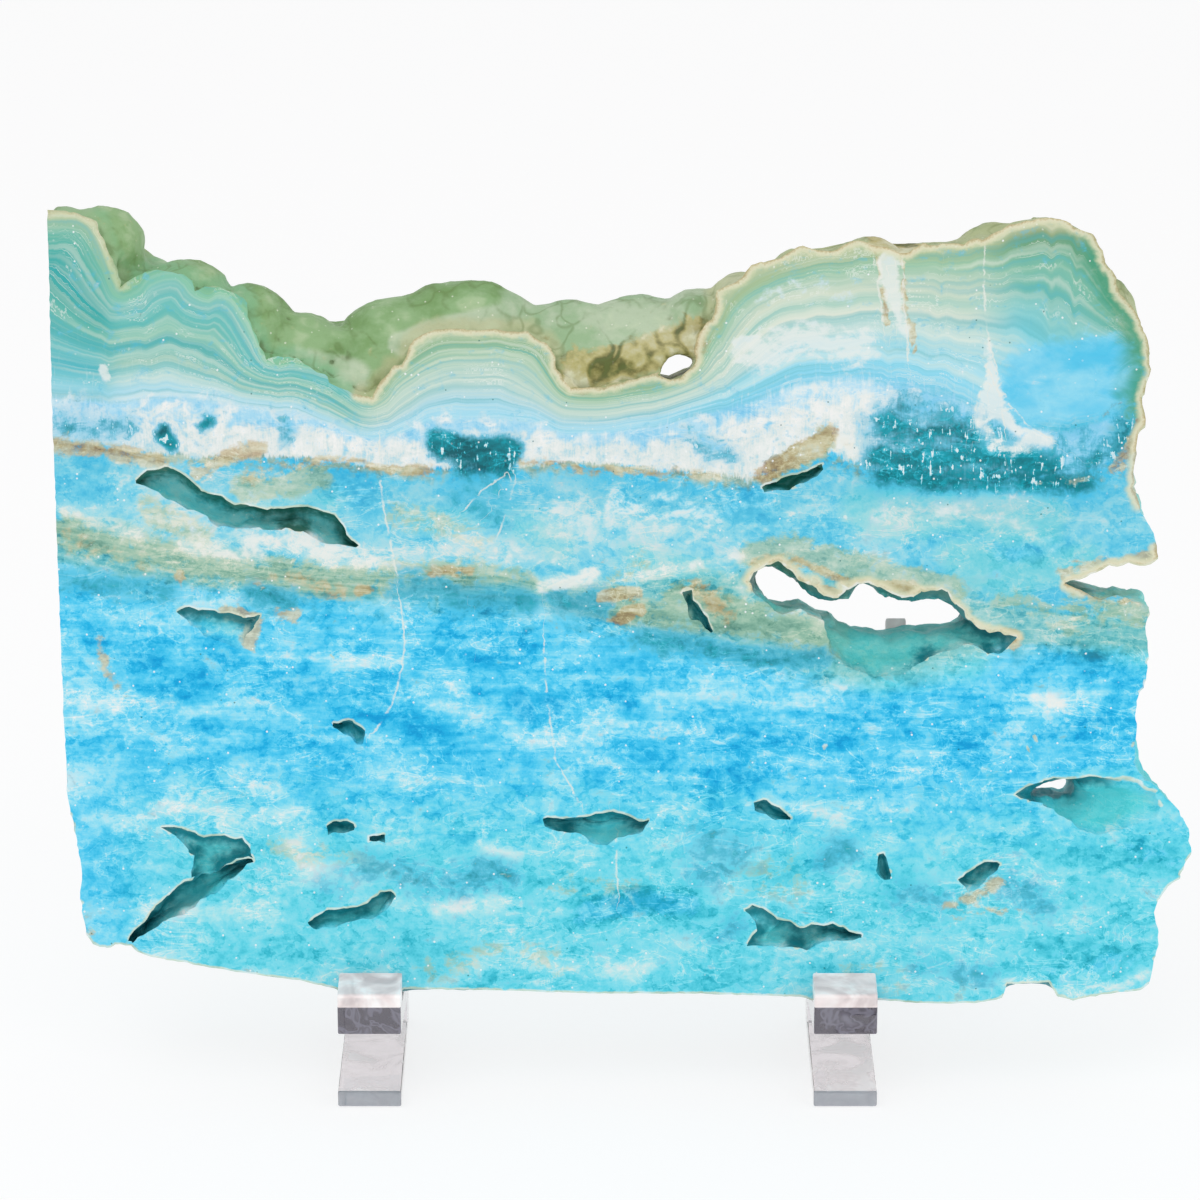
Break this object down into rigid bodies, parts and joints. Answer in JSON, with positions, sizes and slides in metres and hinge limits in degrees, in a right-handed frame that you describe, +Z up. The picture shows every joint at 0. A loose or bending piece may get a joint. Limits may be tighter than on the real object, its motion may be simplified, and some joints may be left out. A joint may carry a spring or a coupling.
{
  "type": "polished mineral slab",
  "caption": "Thick upright slab of banded blue-green aragonite with one polished face, natural skin and holes, leaning back on clear acrylic feet and a rear strut.",
  "frame": {"origin": "bottom centre of the bounding box, on the surface the feet stand on", "axes": "+X across the slab to the viewer's right, +Z up, polished face towards -Y and leaning back"},
  "size_m": [0.342, 0.13, 0.2611],
  "materials": {
    "aragonite": "polished face, waxy natural skin, sawn back",
    "acrylic_left": "polished clear acrylic",
    "acrylic_right": "polished clear acrylic",
    "acrylic_prop": "polished clear acrylic"
  },
  "bodies": {
    "root": {"slab": "aragonite", "left_stand": "acrylic_left", "right_stand": "acrylic_right", "rear_prop": "acrylic_prop"}
  },
  "joints": []
}
